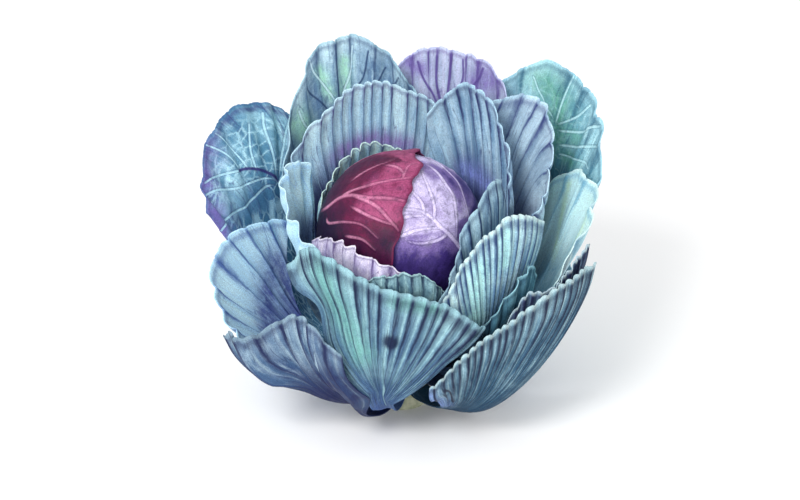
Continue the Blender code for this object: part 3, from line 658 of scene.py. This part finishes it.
def leaf_material(name, look):
    """Waxy leaf. Its points give across, -1 to 1, rise, 0 to 1, and fold, a whole number in each fold."""
    paint = Paint(name)
    colours = look.low, look.line, look.shade, look.body, look.crest, look.rim, look.pool
    low, line, shade, body, crest, rim, own = (lit(srgb(*colour), look.light) for colour in colours)
    across, rise, fold, pale, dark, pool = (
        paint.attribute(key) for key in ("across", "rise", "fold", "pale", "dark", "pool"))
    blotch = paint.noise(24.0, 3.0)
    fine = paint.noise(120.0, 5.0, roughness=0.65)
    strokes = paint.noise(1.0, 4.0, paint.vector(paint.times(fold, 5.0), paint.times(rise, 3.0)), 0.62)
    wander = paint.plus(fold, paint.swing(fine, 0.16))
    margin = paint.plus(rise, paint.swing(strokes, 0.5))
    edge = paint.plus(rise, paint.swing(fine, 0.05))

    # Each pleat runs from painted shade in its fold to a painted highlight on its crest, and some are darker
    # or paler as a whole
    deep = tuple((a + 2 * b) / 3 for a, b in zip(line, shade))
    painted_fold_light = paint.ramp(paint.math("FRACT", wander), (
        (0.0, deep), (0.22 * look.lean, shade), (0.6 * look.lean, body), (look.lean, crest),
        (0.4 + 0.6 * look.lean, body), (1.0, shade)))
    flat = paint.mix(paint.span(rise, 0.1, 0.9), body, paint.mix(0.4, body, crest))
    colour = paint.mix(paint.span(rise, 0.0, 0.4, 0.3, 1.0 - 0.45 * look.net), flat, painted_fold_light)
    number = {"W": paint.math("FLOOR", wander)}
    tone = paint.add("ShaderNodeTexWhiteNoise", number, noise_dimensions="1D").outputs["Value"]

    # Strokes up the leaf, clouds, a pale margin, painted shade at its base in its lowest colour, and where POOLS
    # says its own hue on some leaves and painted shade on others
    colour = paint.washes(
        colour,
        (shade, tone, 0.4, 1.0, 0.6),
        (crest, tone, 0.5, 0.0, 0.4),
        (shade, strokes, 0.46, 0.72, 0.7),
        (line, strokes, 0.58, 0.76, 0.45),
        (crest, strokes, 0.52, 0.28, 0.8),
        (shade, blotch, 0.50, 0.72, 0.45),
        (crest, blotch, 0.48, 0.30, 0.35),
        (shade, fine, 0.42, 0.75, 0.45),
        (rim if look.net == 1 else crest, margin, 0.74, 1.05, 0.45),
        (low, margin, 0.52, 0.02, 0.9))
    colour = paint.cover(colour, own, pool, paint.span(paint.plus(strokes, fine), 0.85, 1.25, 0.95, 0.45))

    # Fine dark hatching, a painted shade line in each fold that widens to the rim, and a painted highlight like
    # a pale hair on each crest
    hatch = paint.noise(1.0, 2.0, paint.vector(paint.times(fold, 2.2), paint.times(rise, 0.8), 7.0))
    hatch = paint.span(paint.math("ABSOLUTE", paint.plus(hatch, -0.5)), 0.0, 0.018, 1.0, 0.0)
    colour = paint.cover(colour, line, hatch, paint.span(strokes, 0.35, 0.55, 0.1, 0.55))
    width = paint.span(rise, 0.55, 0.96, 0.050, 0.200)
    fold_shade_line = paint.span(paint.math("PINGPONG", wander, 0.5), 0.0, width, 1.0, 0.0)
    colour = paint.cover(colour, line, fold_shade_line, 1 - 0.75 * look.net, paint.span(strokes, 0.30, 0.50, 0.5, 1.0),
                         paint.span(rise, 0.30, 0.95, 0.40, 1.0))
    crest_highlight = paint.span(paint.math("PINGPONG", paint.plus(wander, -look.lean), 0.5), 0.0, 0.035, 1.0, 0.0)
    colour = paint.cover(colour, rim, crest_highlight, paint.span(strokes, 0.58, 0.42, 0.0, 0.7 * (1 - look.net)))

    relief = paint.plus(paint.times(strokes, 0.5), paint.times(fine, 0.3))
    if look.net:
        # A net of pale veins, with darker leaf inside its cells
        small = paint.vector(paint.plus(paint.times(across, 5.5), paint.times(fine, 0.5)),
                             paint.plus(paint.times(rise, 9.0), paint.times(blotch, 1.2)))
        cells = {"Vector": small, "Scale": 1.0, "Randomness": 0.75}
        from_vein = paint.add("ShaderNodeTexVoronoi", cells, feature="DISTANCE_TO_EDGE").outputs["Distance"]
        veins = paint.span(from_vein, 0.02, 0.10, 1.0, 0.0)
        where = paint.times(paint.span(blotch, 0.36, 0.52), paint.span(rise, 0.95, 0.75))
        colour = paint.cover(colour, shade, paint.span(from_vein, 0.06, 0.30), where, 0.7 * look.net)
        colour = paint.cover(colour, crest, veins, where, 0.55 * look.net)
        relief = paint.plus(relief, paint.times(veins, 0.4 * look.net))

    # Pale veins, each with painted shade along its sides, dark strokes, and a pale rim, a painted highlight on
    # most leaves, with a painted shadow line under it
    colour = paint.cover(colour, line, paint.beside(pale, 0.05, 0.3, 0.7), 0.35)
    colour = paint.washes(colour, (crest, pale, 0.25, 0.9, 0.8), (line, dark, 0.1, 0.8, 0.92))
    colour = paint.cover(colour, line, paint.beside(edge, 0.89, 0.95, 0.98), 0.45)
    colour = paint.speckled(paint.washes(colour, (rim, edge, 0.965, 0.992, 0.5)), 0.76, 1.18)
    return paint.finish(paint.strengthen(colour), paint.span(fine, 0.3, 0.7, 0.50, 0.68), relief)


def show(leaf, points, faces, attributes, material):
    """A blade that stands in for a leaf's solid, thickened away from the stalk."""
    name = "shown_" + leaf.name
    mesh = bpy.data.meshes.new(name)
    mesh.from_pydata(points.tolist(), [], faces.tolist())
    for key, values in attributes.items():
        mesh.attributes.new(key, "FLOAT", "POINT").data.foreach_set("value", np.asarray(values, np.float32))
    mesh.shade_smooth()
    mesh.materials.append(material)
    obj = bpy.data.objects.new(name, mesh)
    bpy.context.scene.collection.objects.link(obj)
    solidify = obj.modifiers.new("blade", "SOLIDIFY")
    solidify.thickness = SHOWN_BLADE
    solidify.offset = 1
    solidify.use_even_offset = False
    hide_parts(leaf.name)
    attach(obj, "root")


def grid_of(columns, rows):
    """v and q of a grid, flattened, and its faces, which look away from the stalk."""
    v, q = np.meshgrid(np.linspace(-1, 1, columns + 1), np.linspace(0, 1, rows + 1), indexing="ij")
    corner = np.arange((columns + 1) * (rows + 1)).reshape(columns + 1, rows + 1)
    faces = np.stack([corner[:-1, :-1], corner[1:, :-1], corner[1:, 1:], corner[:-1, 1:]], -1).reshape(-1, 4)
    return v.ravel(), q.ravel(), faces


def wandering(x, seed):
    """A smooth wandering between about -1 and 1."""
    return (np.sin(2.1 * x + seed) + np.sin(4.7 * x + 2.3 * seed) + 0.6 * np.sin(9.3 * x + 4.1 * seed)) / 2.6


def nearness(points, stroke, width, end_strength=1.0):
    """1 on a stroke, given as closely spaced places, fading to 0 at about twice its width, and at its start."""
    found = np.zeros(len(points))
    strength = np.linspace(1, end_strength, len(stroke))
    if len(stroke) > 1:
        strength *= np.minimum(np.linspace(*FADE_IN, len(stroke)), 1)
    for place, reach, most in zip(stroke, np.broadcast_to(width, len(stroke)), strength):
        near = np.flatnonzero((np.abs(points - place) < STROKE_FADE * reach).all(1))
        closeness = most * np.exp(-((points[near] - place) ** 2).sum(1) / reach**2)
        found[near] = np.maximum(found[near], closeness)
    return found


def closely(path, corners, width):
    """The places of a path one after another, at most half a width apart. corners: where its own places lie."""
    path = np.array(path, float)
    if len(path) == 1:
        return path
    length = np.linalg.norm(np.diff(corners, axis=0), axis=1).sum()
    along = np.linspace(-1, 1, int(STEPS_PER_WIDTH * length / width) + 2)
    return np.stack([through(part, along) for part in path.T], -1)


def strokes_on(surface, points, strokes):
    """How near each point is to the nearest of some strokes on a leaf."""
    found = np.zeros(len(points))
    for width, *path in strokes:
        corners = surface(*np.array(path, float).T)
        found = np.maximum(found, nearness(points, surface(*closely(path, corners, width).T), width))
    return found


def pleats_of(look, v, rise, number):
    """The number of each place's pleat, with how far over it the place lies, and the height, 0 to 1."""
    swung = v - look.sweep * np.clip(1 - rise, 0, 1)
    even = np.clip((swung + 1) / 2, 0, 1) ** look.crowd * look.folds
    fold = even + UNEVEN_PLEATS * wandering(2.4 * swung, number)
    crest_power = math.log(0.5) / math.log(look.lean)
    return fold, np.abs(np.sin(np.pi * (fold % 1) ** crest_power))


def waisted(leaf, v, q):
    """v with the leaf's side drawn in or bulged out, where WAISTS has it."""
    if leaf.name not in WAISTS:
        return v
    waist = WAISTS[leaf.name]
    drawn = waist.share * np.exp(-(((q - waist.place) / waist.spread) ** 2))
    return v * (1 - drawn * np.maximum(waist.side * v, 0))


def cut_length(leaf, look, v, q, ridge, number):
    """q with the rim notched between pleats, uneven, and further out where LONGER_AT has it."""
    notches = look.scallop * (1 - ridge**LOBE_SHARPNESS) * (1.2 + wandering(9 * v, number + 1))
    notches += UNEVEN_RIM * (1 + wandering(3 * v, number + 3)) / 2 + NICKS * wandering(19 * v, number) ** 2
    length = q * (UNCUT_LENGTH - notches * smooth_step(q))
    if leaf.name in LONGER_AT:
        longer = LONGER_AT[leaf.name]
        length *= 1 + longer.share * smooth_step(q) * np.exp(-(((v - longer.place) / longer.spread) ** 2))
    return length


def grown(value, start, end=1):
    """0 up to the start, eased to 1 at the end."""
    return smooth_step((value - start) / (end - start))


def relief_of(look, v, q, ridge, number):
    """How far the pleats, the frilled sides and rim and the turned rim stand off the plain blade."""
    at_sides = grown(np.abs(v), *SIDE_RUFFLE_OUT) * grown(q, *SIDE_RUFFLE_UP)
    frill = np.maximum(grown(q, RUFFLE_START), SIDE_RUFFLE_SHARE * at_sides)
    phase = np.pi * look.waves * v + 0.9 * number + 1.8 * wandering(2 * v, number + 5) + 2 * q
    pleats = look.height * pleat_share(q) * (2 * ridge**PLEAT_ROUNDNESS - 1.2)
    return pleats + look.ruffle * frill * np.sin(phase) + look.roll * grown(q, ROLL_START) ** 2


def shown_leaf(leaf, push, number):
    """An outer leaf with uneven pleats, a notched rim that frills and rolls out, and its own veins."""
    look = SLATE_LOOK._replace(**LOOKS[leaf.name])
    v, q, faces = grid_of(COLUMNS, LEAF_ROWS)
    q = np.interp(q, (0, ROWS_BELOW_BASE, 1), (0, look.base, 1))

    def surface(v, q):
        return leaf_surface(leaf, push, waisted(leaf, v, q), q)

    rise = (q - look.base) / (1 - look.base)
    fold, ridge = pleats_of(look, v, rise, number)
    plain = surface(v, cut_length(leaf, look, v, q, ridge, number))
    pale, dark, pool = (
        strokes_on(surface, plain, table.get(leaf.name, ())) for table in (PALE_VEINS, DARK_STROKES, POOLS))
    sunk = dark if len(DARK_STROKES.get(leaf.name, ())) > 1 else 0  # a dark stroke on its own is only painted
    height = relief_of(look, v, q, ridge, number) + math.copysign(LEAF_VEIN_RISE, look.height) * (pale - sunk)
    points = plain + outward_normals(surface, v, q) * height[:, None]
    attributes = {"across": v, "rise": rise, "fold": fold, "pale": pale, "dark": dark, "pool": pool}
    show(leaf, points, faces, attributes, leaf_material(leaf.name + "_look", look))


def unit(vectors):
    return vectors / np.linalg.norm(vectors, axis=-1)[..., None]


def heading(azimuth, tilt):
    """The direction at an azimuth and a tilt from straight up, in degrees."""
    azimuth, tilt = np.radians(azimuth), np.radians(tilt)
    return np.stack([np.sin(tilt) * np.sin(azimuth), -np.sin(tilt) * np.cos(azimuth), np.cos(tilt)], -1)


# Veins of the leaves on the head: width in metres, then azimuth and tilt of points along each
HEAD_VEINS = {
    "head_leaf_red": (
        (0.0017, (-90, 72), (-78, 61), (-70, 50), (-59, 43), (-39, 39), (-20, 36), (-8, 36), (3, 38)),
        (0.0014, (-59, 43), (-41, 41), (-25, 43), (-13, 49), (-6, 54), (-3, 57)),
        (0.0012, (-71, 52), (-64, 42), (-51, 33), (-29, 24), (10, 20), (30, 22)),
        (0.0011, (-76, 39), (-77, 26), (-78, 17), (-84, 8), (-150, 5)),
        (0.0011, (-71, 13), (-17, 10), (4, 15), (26, 9), (60, 10)),
        (0.0011, (4, 15), (1, 20)),
        (0.0011, (-72, 66), (-65, 67), (-50, 60), (-33, 57), (-18, 63)),
        (0.0011, (-52, 49), (-31, 50), (-16, 52), (-5, 54)),
        (0.0011, (-45, 68), (-30, 66), (-19, 71)),
    ),
    "head_leaf_violet": (
        (0.0016, (60, 98), (47, 81), (42, 72), (37, 64), (32, 58), (27, 51), (21, 46), (12, 43), (-1, 42)),
        (0.0011, (21, 46), (21, 38), (15, 31), (8, 26)),
        (0.0011, (28, 52), (33, 43), (38, 31), (46, 21), (60, 15)),
        (0.0014, (102, 16), (82, 24), (67, 34), (62, 43), (53, 52), (47, 61), (42, 70)),
        (0.0012, (131, 29), (103, 32), (88, 41), (73, 50), (64, 60), (55, 69)),
        (0.0011, (-3, 61), (3, 59), (11, 57), (23, 57), (34, 59)),
        (0.0011, (0, 48), (9, 47), (20, 48)),
        (0.0011, (37, 64), (26, 66), (13, 66), (4, 64)),
    ),
}
# FRONT_SIDE: the side of a head leaf, in v, that is in front. tint: the colour of its cloudy patches. deep,
# shade,
# body, crest: the colours that the painted light and shade run through, from deep painted shade to the painted
# highlight; deep also darkens patches, and lays painted shade beside the veins.
FRONT_SIDE = {"head_leaf_red": 1, "head_leaf_violet": -1}
HeadLook = namedtuple("HeadLook", "deep shade body crest rim vein tint")
HEAD_LOOKS = {
    "head_leaf_violet": HeadLook(
        deep=(34, 22, 70), shade=(68, 54, 112), body=(120, 106, 152), crest=(184, 176, 204), rim=(204, 194, 218),
        vein=(208, 200, 222), tint=(92, 70, 130)),
    "head_leaf_red": HeadLook(
        deep=(36, 14, 52), shade=(72, 20, 60), body=(98, 30, 68), crest=(154, 84, 118), rim=(108, 38, 76),
        vein=(196, 144, 168), tint=(70, 22, 70)),
}


def veins_on(name, directions, spread=1.0):
    """How near each direction is to a vein of a leaf on the head. Each vein narrows towards its end."""
    found = np.zeros(len(directions))
    for width, *path in HEAD_VEINS[name]:
        width = width * spread / HEART_RADIUS
        corners = heading(*np.array(path, float).T)
        along = closely(corners, corners, width)
        narrowing = width * np.linspace(*VEIN_TAPER, len(along))
        found = np.maximum(found, nearness(directions, unit(along), narrowing, end_strength=0.5))
    return found


def painted_light_on(name, directions):
    """Painted light and shade on a head leaf: palest high up where the two leaves meet, with painted shade low
    down, below a fold on the violet leaf, and towards one side.
    """
    azimuth = np.degrees(np.arctan2(directions[:, 0], np.abs(directions[:, 1])))
    tilt = np.degrees(np.arccos(directions[:, 2]))
    if name == "head_leaf_red":
        return 0.86 - 0.50 * grown(tilt, 38, 72) - 0.44 * grown(-azimuth, 20, 82)
    # Painted shade in the violet leaf's low fold and below it
    fold_shade_below = grown(tilt, 57, 62) * (0.42 + 0.30 * grown(tilt, 62, 82))
    return 1.0 - 0.50 * grown(azimuth, 40, 90) - fold_shade_below


def head_material(name, look):
    """Smooth head leaf: painted light and shade from its light attribute, a painted highlight above its veins,
    streaks, dark patches, pale raised veins and painted shade beside them.
    """
    paint = Paint(name)
    across, along, vein, light, glow = (
        paint.attribute(key) for key in ("across", "along", "vein", "light", "glow"))
    deep, shade, body, crest, rim, pale, tint = (srgb(*colour) for colour in look)
    blotch = paint.noise(34.0, 3.0)
    fine = paint.noise(150.0, 5.0, roughness=0.65)
    streaks = paint.noise(1.0, 4.0, paint.vector(paint.times(across, 7.0), paint.times(along, 16.0)), 0.6)
    # The tone starts from the painted light and shade and is made uneven; the ramp runs from deep painted shade
    # to the crest colour as painted highlight
    tone = light
    for unevenness, amount in ((blotch, 0.9), (streaks, 0.7), (fine, 0.5)):
        tone = paint.plus(tone, paint.swing(unevenness, amount))
    # The painted highlight above the veins lightens the tone
    tone = paint.plus(tone, paint.times(glow, 0.22))
    colour = paint.ramp(tone, ((0.0, deep), (0.32, shade), (0.62, body), (1.0, crest)))
    colour = paint.washes(colour, (tint, blotch, 0.54, 0.72, 0.4))
    # Painted shade along the sides of the raised veins
    colour = paint.cover(colour, deep, paint.beside(vein, 0.02, 0.2, 0.55), 0.30)
    colour = paint.washes(colour, (pale, vein, 0.20, 0.95, 0.75), (rim, along, 0.982, 0.996, 0.7),
                          (deep, fine, 0.45, 0.72, 0.5))
    colour = paint.speckled(colour, 0.66, 1.24)
    relief = paint.plus(paint.times(streaks, 0.5), paint.times(fine, 0.4))
    return paint.finish(paint.strengthen(colour), paint.span(fine, 0.3, 0.7, 0.45, 0.60), relief)


def between(start, end, q):
    """Directions turned from the start towards the end by the share q."""
    angle = np.arccos((start * end).sum(-1))[..., None]
    q = q[..., None]
    return (np.sin((1 - q) * angle) * start + np.sin(q * angle) * end) / np.sin(angle)


def head_directions(leaf, v, q):
    """Directions from the head's centre: from a leaf's base, past its middle, to its edge over the top."""
    turn = math.radians(leaf.side)
    side = np.array([math.sin(turn), -math.cos(turn), 0])
    cross = np.array([math.cos(turn), math.sin(turn), 0])
    up = np.array([0, 0, 1])

    def round_to(half_turn, middle):
        turned = np.radians(half_turn * v)[..., None]
        return np.cos(turned) * middle + np.sin(turned) * cross

    below = math.radians(HEAD_BASE_ANGLE)
    base = math.sin(below) * round_to(HEAD_BASE_HALF_TURN, side) - math.cos(below) * up
    climb = np.radians(HEAD_MIDDLE_CLIMB - HEAD_MIDDLE_DROP * v**2)[..., None]
    middle = np.sin(climb) * up + np.cos(climb) * round_to(HEAD_MIDDLE_HALF_TURN, side)
    wander = sum(share * np.sin(waves * v + leaf.side) for waves, share in HEAD_EDGE_WAVES + TORN_EDGE_WAVES)
    past = np.radians(leaf.past_top + leaf.wave * wander)[..., None]
    low_end = leaf.lap * np.sin(np.radians(HEAD_EDGE_HALF_TURN * v))[..., None] ** 2
    edge = unit(round_to(HEAD_EDGE_HALF_TURN, np.cos(past) * up - np.sin(past) * side) - low_end * side)
    return between(between(base, middle, q), between(middle, edge, q), q)


def shown_head_leaf(leaf):
    """A leaf closed over the head, with veins that stand up on both of its sides."""
    v, q, faces = grid_of(HEAD_COLUMNS, HEAD_ROWS)
    front = FRONT_SIDE[leaf.name]
    from_front = (1 - v * front) / 2
    v = front * (1 - 2 * (CROWD_TO_FRONT * from_front**2 + (1 - CROWD_TO_FRONT) * from_front))
    direction = head_directions(leaf, v, q)
    mirrored = direction * np.array([1, -1, 1])
    vein = np.where(direction[:, 1] < BEHIND, veins_on(leaf.name, direction), veins_on(leaf.name, mirrored))
    lifted = EDGE_LIFT * grown(q, EDGE_LIFT_START) * (1 + np.sin(EDGE_LIFT_WAVES * v))
    centre = np.array([0, 0, HEAD_HEIGHT])
    points = centre + direction * (leaf.radius + VEIN_RISE * vein + lifted)[:, None]
    # A painted highlight just above each vein
    glow = veins_on(leaf.name, unit(direction - np.array([0, 0, ABOVE_VEIN])), VEIN_HIGHLIGHT_SPREAD)
    attributes = {"across": v, "along": q, "vein": vein, "glow": glow, "light": painted_light_on(leaf.name, direction)}
    show(leaf, points, faces, attributes, head_material(leaf.name + "_look", HEAD_LOOKS[leaf.name]))


def plain_material(name, dark, pale, scale, roughness):
    paint = Paint(name)
    cloud = paint.noise(scale, 4.0, roughness=0.6)
    grain = paint.noise(scale * 8)
    colour = paint.mix(paint.span(cloud, 0.35, 0.65), srgb(*dark), srgb(*pale))
    return paint.finish(colour, roughness, grain)


def dress_solids():
    """The heart and the stalk keep their solids, with materials of their own."""
    looks = {
        "heart": plain_material("heart_look", (60, 36, 88), (112, 84, 140), 60.0, 0.5),
        "stalk": plain_material("stalk_look", (150, 160, 128), (206, 208, 180), 90.0, 0.6),
    }
    for name, look in looks.items():
        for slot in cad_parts[name].material_slots:
            slot.material = look


def lay_floor():
    bpy.ops.mesh.primitive_plane_add(size=FLOOR_SIZE, location=(0, 0, 0))
    floor = bpy.context.object
    floor.name = "floor"
    paint = Paint("floor_look")
    colour = paint.mix(paint.noise(3.0), srgb(246, 246, 246), srgb(250, 250, 250))
    floor.data.materials.append(paint.finish(colour, 0.9))


def light_up():
    """A white world, a key light at the front left and a weak fill at the right."""
    world = bpy.data.worlds.new("studio")
    bpy.context.scene.world = world
    world.use_nodes = True
    background = world.node_tree.nodes["Background"]
    background.inputs["Color"].default_value = (1, 1, 1, 1)
    background.inputs["Strength"].default_value = WORLD_LIGHT
    for name, place, size, power in LAMPS:
        light = bpy.data.lights.new(name, "AREA")
        light.size = size
        light.energy = power
        lamp = bpy.data.objects.new(name, light)
        lamp.location = place
        beam = np.array(LIT_POINT) - np.array(place)
        tilt = math.acos(-beam[2] / np.linalg.norm(beam))
        lamp.rotation_euler = (tilt, 0, math.atan2(beam[0], -beam[1]) + math.pi)
        bpy.context.scene.collection.objects.link(lamp)


def place_camera():
    """Seen from the front and above, as in the picture."""
    elevation = math.radians(CAMERA_ELEVATION)
    upright = np.array([0, math.sin(elevation), math.cos(elevation)])
    forward = np.array([0, math.cos(elevation), -math.sin(elevation)])
    data = bpy.data.cameras.new("camera")
    data.lens = CAMERA_LENS
    camera = bpy.data.objects.new("camera", data)
    camera.location = np.array(AIM) - upright * AIM_ABOVE_MIDDLE - forward * CAMERA_DISTANCE
    camera.rotation_euler = (math.pi / 2 - elevation, 0, 0)
    bpy.context.scene.collection.objects.link(camera)
    bpy.context.scene.camera = camera
    bpy.context.scene.view_settings.view_transform = "Standard"


def build():
    lay_floor()
    light_up()
    place_camera()
    dress_solids()
    for leaf in HEAD_LEAVES:
        shown_head_leaf(leaf)
    taken = np.zeros((AZIMUTH_BINS, REACH_BINS))
    for number, leaf in enumerate(LEAVES):
        shown_leaf(leaf, lay_leaf(leaf, taken), number)


build()
